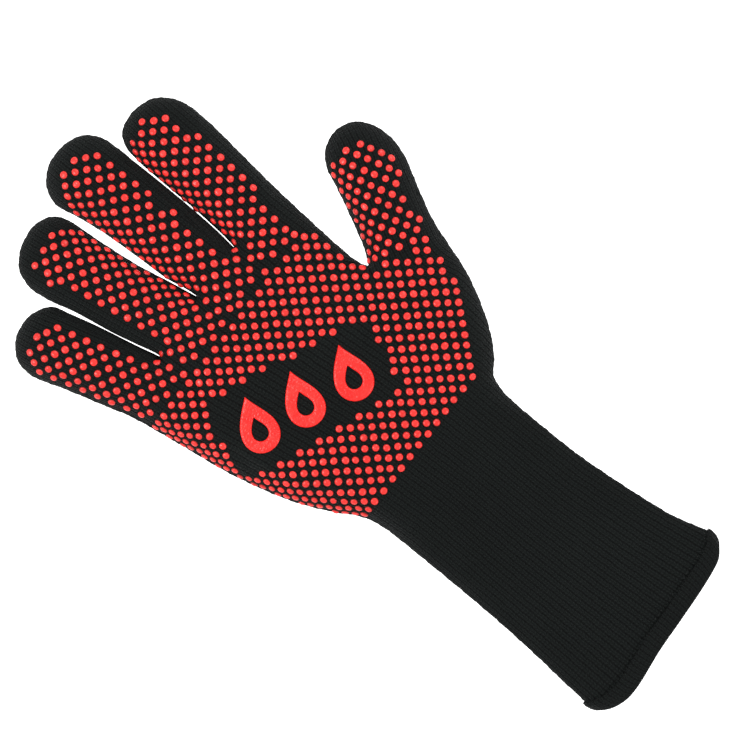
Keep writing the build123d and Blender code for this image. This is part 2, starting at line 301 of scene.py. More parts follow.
def height_of(p, w, top, inset, drop):
    """Height of the upper or lower face where the rise is w, for a layer inset by so much."""
    y = p[:, 1] - WRIST[1]
    hand = smoothstep((y + 35) / 60)
    rise = CUFF_RISE + (HAND_RISE - CUFF_RISE) * hand
    side = CUFF_SIDE + (HAND_SIDE - CUFF_SIDE) * hand
    lift = 0.95 * smoothstep((-118 - y) / 9)
    u = knit_of(p)[0]
    rib = (0.20 - 0.10 * hand) * (0.5 - 0.5 * np.cos(2 * np.pi * u)) * np.minimum(1, w / 5)
    if inset:
        rib = 0.0       # the lining is smooth
    if top:
        full = np.minimum(1, w / 8)
        drop = drop * (0.45 + 0.55 * np.minimum(1, w / 3))
        return side + rise * w + full * unevenness(p) - inset * full - rib - drop
    under = np.exp(-w / 3)
    side = side - 0.45 * drop
    return LOWEST + lift + inset * (1 - under) + (side - LOWEST - lift) * under + rib


# ---- Triangulated layers -----------------------------------------------------------


def seeds_of(step_u, step_v):
    """Inner points in rows and columns that follow the stitches."""
    found = []
    rows = np.arange(-186, 100, step_v)
    columns = np.arange(-100, 110, step_u)
    for y in rows:
        middle, wide = fan_at(np.array([y]))
        found.append(np.column_stack((middle + columns * wide, np.full(len(columns), y))))
    palm = np.vstack(found)
    found = [palm[finger_zone(palm) < 0]]
    for k, f in enumerate(FINGERS.values()):
        length = np.linalg.norm(f["tip"] - f["root"])
        s, t = np.meshgrid(
            np.arange(-30, length + 25, step_v), np.arange(-28, 28, step_u), indexing="ij"
        )
        grid = f["root"] + s.reshape(-1, 1) * f["along"] + t.reshape(-1, 1) * f["across"]
        found.append(grid[finger_zone(grid) == k])
    return np.vstack(found)


def finger_zone(p):
    """Index of the finger that plan points belong to, past the crotch lines, or -1."""
    zone = np.full(len(p), -1)
    knots = np.array([(-200, ROOTS_LEFT), *CROTCHES[:3], (200, ROOTS_RIGHT[1])])
    above = p[:, 1] > np.interp(p[:, 0], knots[:, 0], knots[:, 1])
    fingers = list(FINGERS.values())
    scores = np.array([
        distance_to(np.array((f["root"], f["tip"])), p)[0] / f["radius"] for f in fingers[:4]
    ])
    zone[above] = scores.argmin(axis=0)[above]
    web = CROTCHES[3] - THUMB_AXES["root"]
    q = p - THUMB_AXES["root"]
    past = q @ THUMB_AXES["along"] > web @ THUMB_AXES["along"]
    right = q @ THUMB_AXES["across"] > web @ THUMB_AXES["across"]
    zone[past & right] = 4
    return zone


def enclosed(points, loops):
    """True for points inside an odd number of closed loops."""
    crossings = np.zeros(len(points), int)
    for loop in loops:
        for a, b in zip(loop, np.roll(loop, -1, axis=0)):
            if a[1] == b[1]:
                continue
            between = (a[1] > points[:, 1]) != (b[1] > points[:, 1])
            at = a[0] + (points[:, 1] - a[1]) / (b[1] - a[1]) * (b[0] - a[0])
            crossings += between & (points[:, 0] < at)
    return crossings % 2 == 1


def triangulate(groups, edges):
    """Plan points and triangles over groups of points, with the edges kept."""
    verts, _, faces, *_ = delaunay_2d_cdt(
        [Vector(p) for p in np.vstack(groups)], edges, [], 1, 1e-5, False
    )
    return np.array([v[:] for v in verts]), np.array(faces)


def grid_faces(rows, columns, wrapped=True, flipped=False):
    """Triangles between closed rings of points, the last ring joined to the first if wrapped."""
    faces = []
    for row in range(rows if wrapped else rows - 1):
        here, beyond = row * columns, (row + 1) % rows * columns
        for i in range(columns):
            j = (i + 1) % columns
            a, b, c, d = here + i, here + j, beyond + j, beyond + i
            faces += [(a, d, c), (a, c, b)] if flipped else [(a, b, c), (a, c, d)]
    return faces


def upward(p, faces):
    """Plan triangles turned to face up, without those that have no area."""
    a, b, c = (p[faces[:, k]] for k in range(3))
    area = ((b - a)[:, 0] * (c - a)[:, 1] - (b - a)[:, 1] * (c - a)[:, 0]) / 2
    faces = np.where((area < 0)[:, None], faces[:, ::-1], faces)
    return faces[np.abs(area) > 1e-5]


SCRAP = 120     # faces; a whole piece has more


def join_scraps(faces, piece):
    """Gives each scrap of a piece, cut off by a slit, to the piece that it touches most."""
    beside = {}
    for number, (a, b, c) in enumerate(faces.tolist()):
        for edge in ((a, b), (b, c), (c, a)):
            beside.setdefault(tuple(sorted(edge)), []).append(number)
    links = [[] for _ in faces]
    for pair in beside.values():
        if len(pair) == 2:
            links[pair[0]].append(pair[1])
            links[pair[1]].append(pair[0])
    seen = np.zeros(len(faces), bool)
    for first in range(len(faces)):
        if seen[first]:
            continue
        seen[first] = True
        group, around = [first], []
        for number in group:
            for other in links[number]:
                if piece[other] != piece[first]:
                    around.append(piece[other])
                elif not seen[other]:
                    seen[other] = True
                    group.append(other)
        if len(group) < SCRAP and around:
            piece[group] = np.bincount(around).argmax()
    return piece


SWELL = 0.3             # how far the knit swells out at its side folds, mm
PART_SHORT = 2.5        # how far a part line stays from the next finger, mm
FOLD_BUMPS = [(0.08, 2.05, 0), (0.06, 1.17, 1), (0.08, 0.61, 2)]    # height, pace and phase
# The slits between fingers that touch, where the knit neither swells nor is bumpy.
SLITS = np.array([
    [(-44, 124), (-53, 172)], [(-11.7, 128), (-18.5, 195)], [(16.5, 127.5), (20.5, 190)],
]) + WRIST


def layer(inset, edge_step, rings, step_u, step_v):
    """The glove's whole skin, or a lining inset from it, as one mesh with its stitches."""
    edge = resample(OUTLINE, edge_step)[:-1]
    edge, slope = edge[:, :2], edge[:, 2]
    normals = inward(edge)
    mouth = in_mouth(edge)
    count = len(edge)
    low = smoothstep((-114 - (edge[:, 1] - WRIST[1])) / 6)
    # Stitches make the side folds slightly bumpy.
    length = np.arange(count) * edge_step
    bumps = sum(high * np.sin(length * pace + phase) for high, pace, phase in FOLD_BUMPS)
    bumps *= 1 - low
    # The knit swells out at the sides, except between two fingers that touch.
    room = np.min([distance_to(line, edge)[0] for line in SLITS], axis=0)
    swell = SWELL * smoothstep(room / 4)
    bumps *= smoothstep(room / 4)
    edge = edge + normals * (inset + 0.3 * low + bumps - swell)[:, None]
    normals = inward(edge)
    tree = KDTree(count)
    for i, p in enumerate(edge):
        tree.insert((p[0], p[1], 0), i)
    tree.balance()

    def nearest(points):
        hits = [tree.find((p[0], p[1], 0)) for p in points]
        return np.array([h[1] for h in hits]), np.array([h[2] for h in hits])

    # Lines where the skin is parted into pieces.
    lines = []

    def part_along(a, b):
        i, j = nearest(np.array((a, b)))[0]
        run = resample(np.array((edge[i], edge[j])), step_v)[1:-1]
        lines.append((i, j, run))

    off_left = CUFF_LEFT[-1][0] + WRIST[0] - 2.5
    roots = [(off_left, ROOTS_LEFT), *CROTCHES[:3], ROOTS_RIGHT]
    for a, b in zip(roots, roots[1:]):
        part_along(a, b)
    web_s = (CROTCHES[3] - THUMB_AXES["root"]) @ THUMB_AXES["along"]
    for name, f in FINGERS.items():
        if name == "thumb":
            for s in (web_s, f["cut"]):
                middle = f["root"] + f["along"] * s
                first = CROTCHES[3] if s == web_s else middle - f["across"] * f["radius"]
                part_along(first, middle + f["across"] * (f["radius"] + 3))
        else:
            middle = f["root"] + f["along"] * (f["cut"] - f["root"][1]) / f["along"][1]
            half = np.array((f["radius"] - PART_SHORT, 0))
            part_along(middle - half, middle + half)

    inner = [edge + normals * ring for ring in rings]
    seeds = seeds_of(step_u, step_v)
    near, gap = nearest(seeds)
    inside = ((seeds - edge[near]) * normals[near]).sum(axis=1) > 0
    seeds = seeds[inside & (gap > rings[-1] + 0.6 * step_u)]
    loose = np.vstack((*inner, seeds))
    for _, _, run in lines:
        d, _ = distance_to(run, loose)
        loose = loose[d > 0.3 * step_v]
    points = [edge]
    edges = [(i, (i + 1) % count) for i in range(count)]
    total = count
    for i, j, run in lines:
        chain = [i, *range(total, total + len(run)), j]
        edges += list(zip(chain[:-1], chain[1:]))
        points.append(run)
        total += len(run)
    p, faces = triangulate((*points, loose), edges)
    near, gap = nearest(p)
    on_edge = gap < 1e-3
    # The triangulation fills the hull; what is outside lies along the outline.
    doubtful = on_edge[faces].sum(axis=1) >= 2
    outside = np.zeros(len(faces), bool)
    outside[doubtful] = ~enclosed(p[faces[doubtful]].mean(axis=1), [edge])
    faces = upward(p, faces[~outside])
    # A point is on the side fold if it is on the outline and not in the mouth.
    fold = on_edge & ~mouth[near]
    w = rise_over(p, faces, fold)
    outward = -normals[near]

    centre = p[faces].mean(axis=1)
    zone = finger_zone(centre)
    piece = np.zeros(len(faces), int)
    for k, (name, f) in enumerate(FINGERS.items()):
        here = zone == k
        if name == "thumb":
            past = (centre - f["root"]) @ f["along"] > f["cut"]
        else:
            past = centre[:, 1] > f["cut"]
        piece[here & ~past], piece[here & past] = 2 * k + 1, 2 * k + 2
    piece = join_scraps(faces, piece)

    lower = np.arange(len(p)) + len(p)
    lower[fold] = np.arange(len(p))[fold]
    drop = slope[near] * np.exp(-gap / (2.5 + 0.7 * slope[near]))
    top = np.column_stack((p, height_of(p, w, True, inset, drop)))
    bottom = np.column_stack((p, height_of(p, w, False, inset, drop)))
    u, v = knit_of(p)
    extra = 4.1 * np.maximum(0, 1 - w / 10) ** 2
    u = u + extra * outward[:, 0] / WALE
    v = v + extra * outward[:, 1] / COURSE
    return dict(
        co=np.vstack((top, bottom)),
        faces=np.vstack((faces, lower[faces][:, ::-1])),
        piece=np.r_[piece, piece],
        knit=np.tile(np.column_stack((u, v, np.zeros(len(u)))), (2, 1)),
        upper=len(faces),
    )


SOLVE_STEPS, SOLVE_ERROR = 900, 1e-6


def rise_over(p, faces, fixed):
    """Solves for how far the knit stands up from its side folds, over the plan."""
    count = len(p)
    corners = [p[faces[:, k]] for k in range(3)]
    rows, columns, weights = [], [], []
    for k in range(3):
        a, b, c = corners[k], corners[(k + 1) % 3], corners[(k + 2) % 3]
        cross = np.abs((b - a)[:, 0] * (c - a)[:, 1] - (b - a)[:, 1] * (c - a)[:, 0])
        area = cross / 2
        rows.append(faces[:, (k + 1) % 3])
        columns.append(faces[:, (k + 2) % 3])
        weights.append(np.maximum(((b - a) * (c - a)).sum(axis=1) / cross / 2, 1e-4))
    i, j, weight = np.concatenate(rows), np.concatenate(columns), np.concatenate(weights)
    mass = np.bincount(faces.ravel(), np.repeat(area / 3, 3), count)
    diagonal = (
        np.bincount(i, weight, count) + np.bincount(j, weight, count) + mass / SPREAD ** 2
    )
    diagonal[diagonal == 0] = 1.0
    free = ~fixed

    def apply(x):
        y = diagonal * x - np.bincount(i, weight * x[j], count)
        return (y - np.bincount(j, weight * x[i], count)) * free

    x = np.zeros(count)
    r = mass * free
    z = r / diagonal
    d, rz = z.copy(), r @ z
    for _ in range(SOLVE_STEPS):
        q = apply(d)
        step = rz / (d @ q)
        x += step * d
        r -= step * q
        if np.abs(r).max() < SOLVE_ERROR:
            break
        z = r / diagonal
        rz, old = r @ z, rz
        d = z + rz / old * d
    return np.sqrt(2 * np.maximum(x, 0))


def vertex_normals(co, faces):
    """Smooth normals at the points, weighted by the faces' areas."""
    a, b, c = (co[faces[:, k]] for k in range(3))
    way = np.cross(b - a, c - a)
    out = np.zeros_like(co)
    for k in range(3):
        for axis in range(3):
            out[:, axis] += np.bincount(faces[:, k], way[:, axis], len(co))
    return out / np.maximum(np.linalg.norm(out, axis=1), 1e-12)[:, None]


def add_object(name, data):
    """A new object in the scene."""
    added = bpy.data.objects.new(name, data)
    bpy.context.scene.collection.objects.link(added)
    return added


def make_piece(name, co, faces, material, normals=None, knit=None, shades=None):
    """A Blender mesh from points in mm, with its stitches and smooth normals."""
    mesh = bpy.data.meshes.new(name)
    mesh.from_pydata((co * MM).tolist(), [], [list(map(int, f)) for f in faces])
    mesh.validate()
    mesh.shade_smooth()
    for key, values in (("knit", knit), ("shade", shades)):
        if values is not None:
            wide = values.ndim == 2
            found = mesh.attributes.new(key, "FLOAT_VECTOR" if wide else "FLOAT", "POINT")
            flat = values.astype(np.float32).ravel()
            found.data.foreach_set("vector" if wide else "value", flat)
    if normals is not None:
        mesh.normals_split_custom_set_from_vertices(normals.tolist())
    mesh.materials.append(material)
    return add_object(name, mesh)


def cut_out(shell, wanted):
    """One piece's own points and faces from a whole layer."""
    faces = shell["faces"][shell["piece"] == wanted]
    used, local = np.unique(faces, return_inverse=True)
    return shell["co"][used], local.reshape(-1, 3), used


# ---- Materials ---------------------------------------------------------------------


class Nodes:
    """Short ways to build a material's node tree."""

    def __init__(self, name):
        self.material = bpy.data.materials.new(name)
        self.material.use_nodes = True
        self.tree = self.material.node_tree
        self.shader = self.tree.nodes["Principled BSDF"]

    def new(self, kind, **settings):
        node = self.tree.nodes.new(kind)
        for key, value in settings.items():
            setattr(node, key, value)
        return node

    def place(self):
        """Where a point lies on the object."""
        return self.new("ShaderNodeTexCoord").outputs["Object"]

    def link(self, out, into):
        self.tree.links.new(out, into)

    def math(self, operation, *values):
        node = self.new("ShaderNodeMath", operation=operation)
        for k, value in enumerate(values):
            if isinstance(value, (int, float)):
                node.inputs[k].default_value = value
            else:
                self.link(value, node.inputs[k])
        return node.outputs[0]

    def noise(self, scale, detail=3.0, vector=None):
        node = self.new("ShaderNodeTexNoise")
        node.inputs["Scale"].default_value = scale
        node.inputs["Detail"].default_value = detail
        if vector is not None:
            self.link(vector, node.inputs["Vector"])
        return node.outputs["Fac"]

    def ramp(self, value, stops):
        node = self.new("ShaderNodeValToRGB")
        while len(node.color_ramp.elements) < len(stops):
            node.color_ramp.elements.new(0.5)
        for element, (place, colour) in zip(node.color_ramp.elements, stops):
            element.position, element.color = place, (*colour, 1)
        self.link(value, node.inputs["Fac"])
        return node.outputs["Color"]

    def bump(self, heights):
        """Bump nodes one after another, from (height, strength, distance)."""
        last = None
        for height, strength, distance in heights:
            node = self.new("ShaderNodeBump")
            node.inputs["Strength"].default_value = strength
            node.inputs["Distance"].default_value = distance
            self.link(height, node.inputs["Height"])
            if last is not None:
                self.link(last, node.inputs["Normal"])
            last = node.outputs["Normal"]
        self.link(last, self.shader.inputs["Normal"])

    def set(self, **values):
        for key, value in values.items():
            self.shader.inputs[key.replace("_", " ")].default_value = value


# How far stitches stray and how far a leg of the V slopes, in stitches, and how deep the
# groove between two columns is, in relief and as painted shade. The scales of noise are per metre.
STRAY, LEG_SLOPE, GROOVE_DEPTH = 0.35, 0.55, 0.9


def knit_material(name, dark, light, depth, sheen):
    """Plain knit: columns of V-shaped stitches, with fibre fuzz, and painted shade in the grooves
    between stitches and columns.
    """
    m = Nodes(name)
    place = m.new("ShaderNodeAttribute", attribute_name="knit").outputs["Vector"]
    split = m.new("ShaderNodeSeparateXYZ")
    m.link(place, split.inputs[0])
    here = m.place()
    wobble = m.math("MULTIPLY", m.math("SUBTRACT", m.noise(260, 2, here), 0.5), STRAY)
    u = m.math("ADD", split.outputs["X"], wobble)
    v = m.math("ADD", split.outputs["Y"], wobble)
    # From 0 in a column's middle to 1 between two columns; each leg of the V lies at 0.5.
    side = m.math("ABSOLUTE", m.math("SUBTRACT", m.math("MULTIPLY", m.math("FRACT", u), 2), 1))
    leg = m.math("SINE", m.math("MULTIPLY", side, math.pi))
    course = m.math("SUBTRACT", v, m.math("MULTIPLY", side, LEG_SLOPE))
    rows = m.math("ABSOLUTE", m.math("SINE", m.math("MULTIPLY", course, math.pi)))
    stitch = m.math("MULTIPLY", leg, m.math("POWER", rows, 0.7))
    groove = m.math("POWER", side, 3)
    stitch = m.math("SUBTRACT", stitch, m.math("MULTIPLY", groove, GROOVE_DEPTH))
    fibre = m.noise(2600, 3, here)
    cloud = m.noise(28, 4, here)
    # The colour follows the stitches' relief and is darker in the grooves between stitches and
    # columns, which is painted shade; the fibre and cloud noise vary the tone at random.
    painted_shade_and_tone = m.math("ADD", m.math("MULTIPLY", stitch, 0.5), m.math("MULTIPLY", fibre, 0.5))
    painted_shade_and_tone = m.math("ADD", painted_shade_and_tone, m.math("MULTIPLY", cloud, 0.3))
    m.link(m.ramp(painted_shade_and_tone, [(0.15, dark), (0.95, light)]), m.shader.inputs["Base Color"])
    rough = m.math("ADD", m.math("MULTIPLY", fibre, 0.12), 0.82)
    m.link(rough, m.shader.inputs["Roughness"])
    m.set(Sheen_Weight=sheen, Sheen_Roughness=0.45, Sheen_Tint=(0.75, 0.8, 0.8, 1),
          Specular_IOR_Level=0.12)
    m.bump([(stitch, 0.9, depth), (fibre, 0.5, 0.00015)])
    return m.material


def silicone_material(name, dark, light, sparkle, shaded):
    """Printed silicone: nearly even colour, glossy, with tiny bubbles and glints."""
    m = Nodes(name)
    here = m.place()
    cloud = m.noise(130, 3, here)
    if shaded:
        # On the dots the shade attribute holds painted shade towards each rim and a random depth of
        # colour for each dot.
        shade = m.new("ShaderNodeAttribute", attribute_name="shade").outputs["Fac"]
        cloud = m.math("MULTIPLY", m.math("ADD", cloud, 0.3), shade)
    stops = [(0.1, dark), (0.9, light)] if shaded else [(0.3, dark), (0.7, light)]
    m.link(m.ramp(cloud, stops), m.shader.inputs["Base Color"])
    grain = m.noise(1500, 2, here)
    m.link(m.math("ADD", m.math("MULTIPLY", grain, 0.25), 0.27), m.shader.inputs["Roughness"])
    m.set(Specular_IOR_Level=0.35)
    m.bump([(m.noise(900, 1, here), 0.6, sparkle), (grain, 0.3, sparkle / 3)])
    return m.material


def thread_material():
    """Matt thread, striped along its twist."""
    m = Nodes("twisted_thread")
    here = m.place()
    twist = m.new("ShaderNodeTexWave", wave_type="BANDS", bands_direction="DIAGONAL")
    twist.inputs["Scale"].default_value = 900
    m.link(here, twist.inputs["Vector"])
    stops = [(0, (0.003, 0.0035, 0.0035)), (1, (0.016, 0.018, 0.0175))]
    m.link(m.ramp(twist.outputs["Fac"], stops), m.shader.inputs["Base Color"])
    m.set(Roughness=0.75, Sheen_Weight=0.05, Specular_IOR_Level=0.2)
    m.bump([(twist.outputs["Fac"], 0.6, 0.0001)])
    return m.material


# Each knit's dark colour shows as painted shade in its grooves, and in darker fibres.
KNIT_DARK, KNIT_DEPTH, KNIT_SHEEN = (0.0002, 0.0005, 0.0005), 0.0008, 0.022
KNIT = knit_material(
    "aramid_knit", KNIT_DARK, (0.0075, 0.0098, 0.0092), KNIT_DEPTH, KNIT_SHEEN)
HEM = knit_material("hem_knit", KNIT_DARK, (0.0068, 0.0088, 0.0083), KNIT_DEPTH, KNIT_SHEEN)
LINING = knit_material("cotton_lining", (0.02, 0.02, 0.021), (0.06, 0.06, 0.062), 0.0004, 0.15)
DOTS = silicone_material(
    "silicone_dots", (0.30, 0.014, 0.012), (0.95, 0.030, 0.024), 0.0003, shaded=True)
EMBLEM = silicone_material(
    "silicone_emblem", (0.74, 0.012, 0.010), (0.92, 0.024, 0.018), 0.0006, shaded=False)
THREAD = thread_material()

# ---- Skin and lining ---------------------------------------------------------------


def names_of(kind):
    """Each piece's number in its layer, its name, its finger and where that finger bends."""
    yield 0, f"glove_{kind}", None, None
    for k, finger_name in enumerate(FINGERS):
        yield 2 * k + 1, f"{finger_name}_root_{kind}", finger_name, "knuckle"
        yield 2 * k + 2, f"{finger_name}_tip_{kind}", finger_name, "joint"


def bend(piece, finger_name, where):
    """Bakes a piece's transform into its mesh, whatever its finger and joint."""
    if finger_name is None:
        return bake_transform(piece)
    if where == "knuckle":
        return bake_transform(piece)
    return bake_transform(piece)


def make_layer(kind, shell, material, stands_for):
    """Makes all pieces of the skin or of the lining."""
    normals = vertex_normals(shell["co"], shell["faces"])
    for number, name, finger_name, where in names_of(kind):
        co, faces, used = cut_out(shell, number)
        piece = make_piece(name, co, faces, material, normals[used], shell["knit"][used])
        bend(piece, finger_name, where)
        for node in stands_for(finger_name, where):
            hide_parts(node)


def skin_nodes(finger_name, where):
    if finger_name is None:
        return ["cuff_shell", "wrist_shell", "palm_shell"]
    rest = "base_shell" if where == "knuckle" else "tip_shell"
    return [f"{finger_name}_{where}_shell", f"{finger_name}_{rest}"]


def lining_nodes(finger_name, where):
    if finger_name is None:
        return ["cuff_lining", "wrist_lining", "palm_lining"]
    return [f"{finger_name}_{'base' if where == 'knuckle' else 'tip'}_lining"]


skin = layer(0.0, 1.1, (0.12, 0.5, 1.1, 1.9), WALE / 4, 1.5)
make_layer("skin", skin, KNIT, skin_nodes)
lining = layer(1.6, 2.4, (0.3, 1.2, 2.6), 2.6, 2.6)
make_layer("lining", lining, LINING, lining_nodes)

SKIN = BVHTree.FromPolygons(skin["co"].tolist(), skin["faces"].tolist())
UPPER = BVHTree.FromPolygons(skin["co"].tolist(), skin["faces"][:skin["upper"]].tolist())
LOWER = BVHTree.FromPolygons(skin["co"].tolist(), skin["faces"][skin["upper"]:].tolist())
ABOVE, DOWN = 60.0, Vector((0, 0, -1))


def top_at(x, y):
    """Height and normal of the upper face, or None off the glove."""
    hit = UPPER.ray_cast(Vector((x, y, ABOVE)), DOWN)
    return (None, None) if hit[0] is None else (hit[0].z, hit[1])


# ---- Grip dots ---------------------------------------------------------------------

DOT_RADIUS, DOT_HEIGHT, DOT_SPACE = 1.76, 0.8, 3.8
DOT_SEGMENTS = 12
DOT_PROFILE = [(1.0, -0.25), (0.985, 0.2), (0.9, 0.55), (0.72, 0.82), (0.4, 0.97)]
# Each dot's colour darkens ring by ring towards its rim: painted shade on the dome's sloping sides,
# and partly the thin silicone over the black knit.
DOT_RIM_PAINTED_SHADE = (0.1, 0.35, 0.7, 0.95, 1.0)      # colour of each ring of that profile
DOT_STRAY = 0.12        # how far dots stray from their rows and columns
RADIUS_SPREAD, HEIGHT_SPREAD, LENGTH_SPREAD = 0.03, 0.06, 0.025
DOT_LEAN, DOT_UPRIGHT = 0.4, 0.6    # how far a dot's sides follow the knit or its middle
# Pitch within a row and between rows, a dot to start from, bare knit on the two sides as
# lengths over the surface, the further surface that turns under on the two sides, and
# bare knit at the tip.
DOT_FIELDS = {
    "palm": dict(pitch=(6.6, 3.7), start=(-6.2, -22.2), bare=(1.2, 4.5), steep=(5, 0), tip=0),
    "little": dict(pitch=(7.8, 3.6), start=(-72.8, 113.5), bare=(4.6, 8.0), steep=(1, 0), tip=8.5),
    "ring": dict(pitch=(7.8, 3.5), start=(-40.1, 121.9), bare=(10.0, 1.2), steep=(0, 3.5), tip=9.0),
    "middle": dict(pitch=(8.0, 3.6), start=(-7.1, 130.8), bare=(1.2, 10.5), steep=(4, 0), tip=7.5),
    "index": dict(pitch=(8.3, 3.4), start=(26.1, 123.3), bare=(1.2, 11.0), steep=(4.5, 0), tip=6.5),
    "thumb": dict(pitch=(7.2, 3.85), start=(70.2, 56.9), bare=(1.2, 9.5), steep=(3.5, 0), tip=8.5),
}
STEEP_WIDTH = 10.0      # a steep side's width in plan
PANEL_CENTRE, PANEL_TILT, PANEL_SIZE = np.array((-25.5, 21.5)), math.radians(-22), (84, 38)
PANEL_TURN = np.array((
    (math.cos(PANEL_TILT), -math.sin(PANEL_TILT)), (math.sin(PANEL_TILT), math.cos(PANEL_TILT)),
))
# Lower and outer limit of the dots on the palm.
DOTS_LIMIT = np.array([
    (-80, -35), (34, -35), (45, -17), (59, -5), (65, 11), (68.5, 26), (73, 36), (90, 60),
])


# A gap between two fields gets a dot if it is this far from others in plan and over the
# surface, this far from both sides of the glove, and not on knit this steep.
FILL_STEP, FILL_PLAN, FILL_GAP, FILL_CLEAR = 0.9, 4.35, 4.6, 10
FILL_FROM, FILL_ASIDE = 30.0, 2.5


def on_panel(p):
    """True on the tilted panel that the emblem fills."""
    return (np.abs((p - PANEL_CENTRE) @ PANEL_TURN) < np.array(PANEL_SIZE) / 2).all()


def walk(origin, way, reach, step=0.25):
    """Plan distances and lengths over the surface from origin, until off the glove."""
    plan, over = [0.0], [0.0]
    last = top_at(*origin)[0]
    if last is None:
        return None
    for d in np.arange(step, reach, step):
        here = origin + way * d
        z = top_at(*here)[0]
        if z is None:
            break
        plan.append(d)
        over.append(over[-1] + math.hypot(step, z - last))
        last = z
    return np.array(plan), np.array(over)


class Seats:
    """The dots placed so far: a point on the knit and a width for each."""

    def __init__(self):
        self.rows = np.zeros((0, 4))

    def gap(self, point):
        """Distance from a point to the nearest dot."""
        if not len(self.rows):
            return math.inf
        return np.linalg.norm(self.rows[:, :3] - point, axis=1).min()

    def add(self, point, width):
        self.rows = np.vstack((self.rows, (*point, width)))


seats = Seats()


def place_dots(name, along, wanted, reach):
    """Finds the seats of one field of dots, row by row."""
    field = DOT_FIELDS[name]
    along = np.asarray(along, float)
    across = np.array((along[1], -along[0]))
    start = np.array(field["start"])
    step_across, step_along = field["pitch"]
    sides = list(zip((-1, 1), field["bare"], field["steep"]))
    for row in range(-34, 34):
        origin = start + along * row * step_along
        for side, bare, steep in sides:
            walked = walk(origin, across * side, reach)
            if walked is None:
                continue
            plan, over = walked
            # Towards a steep side the columns close up.
            near = np.clip((plan - plan[-1]) / STEEP_WIDTH + 1, 0, 1)
            over = over + steep * near ** 2
            shift = (row % 2) / 2
            columns = np.arange(0, 20) + (shift if shift else (0 if side > 0 else 1))
            for length in columns * step_across:
                length = abs(length + rng.normal(0, DOT_STRAY))
                if length > over[-1] - bare:
                    continue
                p = origin + across * side * np.interp(length, over, plan)
                p = p + along * rng.normal(0, DOT_STRAY)
                if not wanted(p):
                    continue
                z, _ = top_at(*p)
                if z is None:
                    continue
                q = np.array((*p, z))
                narrow = 1 + 2 * steep / STEEP_WIDTH * np.interp(length, over, near)
                space = DOT_SPACE / narrow ** 0.4
                if seats.gap(q) >= space:
                    seats.add(q, narrow ** -0.5)


def bare_here(p):
    """True near either side of the glove."""
    across = range(-FILL_CLEAR, FILL_CLEAR + 1)
    return any(top_at(p[0] + d, p[1])[0] is None for d in across)


def fill_gaps():
    """Adds dots where two fields meet and leave room for one."""
    x, y = np.meshgrid(np.arange(-85, 75, FILL_STEP), np.arange(-32, 108, FILL_STEP))
    grid = np.column_stack((x.ravel(), y.ravel()))
    placed = seats.rows[:, :2]
    near = np.array([np.linalg.norm(placed - p, axis=1).min() for p in grid])
    for p in grid[near > FILL_PLAN]:
        if any(wanted(p) for wanted in all_wanted):
            nearest_skin = SKIN.find_nearest(Vector((*p, FILL_FROM)))[0]
            z, _ = top_at(*p)
            if z is None or abs(nearest_skin.x - p[0]) > FILL_ASIDE or bare_here(p):
                continue
            q = np.array((*p, z))
            if seats.gap(q) > FILL_GAP:
                seats.add(q, 1.0)


def in_palm(p):
    """True where the palm's own field of dots may lie."""
    if p[1] > 69.5 or on_panel(p):
        return False
    if p[0] > 40 and (p - THUMB_AXES["root"]) @ THUMB_AXES["along"] > 0.5:
        return False
    return p[1] > np.interp(p[0], DOTS_LIMIT[:, 0], DOTS_LIMIT[:, 1])


def on_finger(name, low):
    """A test for where a finger's field of dots may lie, from low to its bare tip."""
    f = FINGERS[name]
    number = list(FINGERS).index(name)
    round_start = np.linalg.norm(f["tip"] - f["root"])
    reach = round_start + f["radius"] - DOT_FIELDS[name]["tip"]
    limit = f["radius"] - DOT_FIELDS[name]["tip"]

    def wanted(p):
        q = p - f["root"]
        s, t = q @ f["along"], q @ f["across"]
        past = s - round_start
        if past > 0 and math.hypot(past, t * 0.75) > limit + 1.5:  # the tip stays bare
            return False
        if name == "thumb":
            return s > low and s < reach
        own = [
            distance_to(np.array((g["root"], g["tip"])), p[None])[0][0] / g["radius"]
            for g in list(FINGERS.values())[:4]
        ]
        return p[1] > low and s < reach and int(np.argmin(own)) == number

    return wanted


THUMB_LOW, FINGERS_LOW = 1.0, 70.0      # where their fields of dots start
all_wanted = [in_palm]
for finger_name, finger in FINGERS.items():
    wanted_here = on_finger(finger_name, THUMB_LOW if finger_name == "thumb" else FINGERS_LOW)
    all_wanted.append(wanted_here)
    place_dots(finger_name, finger["along"], wanted_here, 26)
place_dots("palm", (0, 1), in_palm, 110)
fill_gaps()


def dot_at(seat):
    """One dot's points: a flattened dome that follows the knit under it."""
    hit, normal, *_ = SKIN.find_nearest(Vector(seat[:3]))
    n = np.array(normal)
    e1 = np.cross((0, 1, 0), n)
    e1 /= np.linalg.norm(e1)
    e2 = np.cross(n, e1)
    radius = DOT_RADIUS * (1 + rng.normal(0, RADIUS_SPREAD))
    height = DOT_HEIGHT * (1 + rng.normal(0, HEIGHT_SPREAD))
    turn = rng.uniform(0, 2 * math.pi / DOT_SEGMENTS)
    long = 1 + rng.normal(0, LENGTH_SPREAD)
    angles = turn + np.arange(DOT_SEGMENTS) * 2 * math.pi / DOT_SEGMENTS
    out = []
    for share, rise in DOT_PROFILE:
        for a in angles:
            flat = e1 * math.cos(a) * long * seat[3] + e2 * math.sin(a) / long
            p = np.array(hit) + flat * radius * share
            q, own, *_ = SKIN.find_nearest(Vector(p))
            lean = np.array(own) * DOT_LEAN + n * DOT_UPRIGHT
            out.append(np.array(q) + lean / np.linalg.norm(lean) * height * rise)
    out.append(np.array(hit) + n * height)
    return np.array(out)


